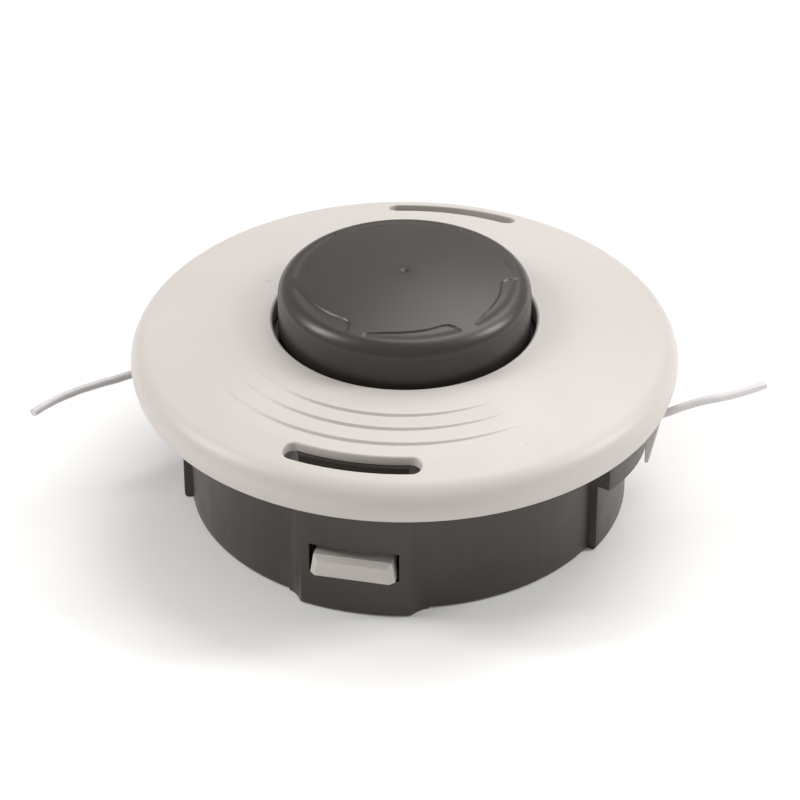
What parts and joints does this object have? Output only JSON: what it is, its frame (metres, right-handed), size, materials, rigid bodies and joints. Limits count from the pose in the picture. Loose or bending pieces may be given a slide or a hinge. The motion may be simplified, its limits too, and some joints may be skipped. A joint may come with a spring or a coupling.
{
  "type": "trimmer head",
  "caption": "Bump-feed line trimmer head: dark cup housing with a left-hand threaded drive insert, pale clipped cover, sprung spool and domed bump knob.",
  "frame": {"origin": "centre of the cup's foot on the drive axis, at the face that looks to the machine", "axes": "+Z along the drive axis from the machine side to the bump knob; +X through the right line exit; latches on +Y and -Y"},
  "size_m": [0.1712, 0.13, 0.0601],
  "materials": {
    "housing_nylon": "moulded glass-filled nylon, fine texture",
    "cover_plastic": "moulded warm off-white plastic, satin",
    "knob_plastic": "moulded nylon, satin",
    "spool_plastic": "moulded nylon",
    "cap_plastic": "moulded acetal",
    "insert_steel": "turned and milled steel",
    "eyelet_metal": "polished sleeve",
    "washer_steel": "stamped steel",
    "spring_steel": "drawn spring wire",
    "line_nylon": "pale monofilament nylon"
  },
  "bodies": {
    "housing": {"housing": "housing_nylon", "drive_insert": "insert_steel", "eyelet_right": "eyelet_metal", "eyelet_left": "eyelet_metal", "cover": "cover_plastic", "lower_washer": "washer_steel", "spring": "spring_steel", "line_end_right": "line_nylon", "line_end_left": "line_nylon"},
    "spring_cap": {"spring_cap": "cap_plastic"},
    "spool": {"spool": "spool_plastic", "line_coil_lower": "line_nylon", "line_coil_upper": "line_nylon", "bump_knob": "knob_plastic"}
  },
  "joints": [
    {"name": "bump", "type": "slide", "parent": "housing", "child": "spring_cap", "axis": [0, 0, 1], "range_m": [-0.005, 0], "stiffness_N_per_m": 1500, "springref_m": 0.01, "deforming": ["spring"]},
    {"name": "spool_turn", "type": "hinge", "parent": "spring_cap", "child": "spool", "pos_m": [0, 0, 0], "axis": [0, 0, 1], "continuous": true}
  ]
}
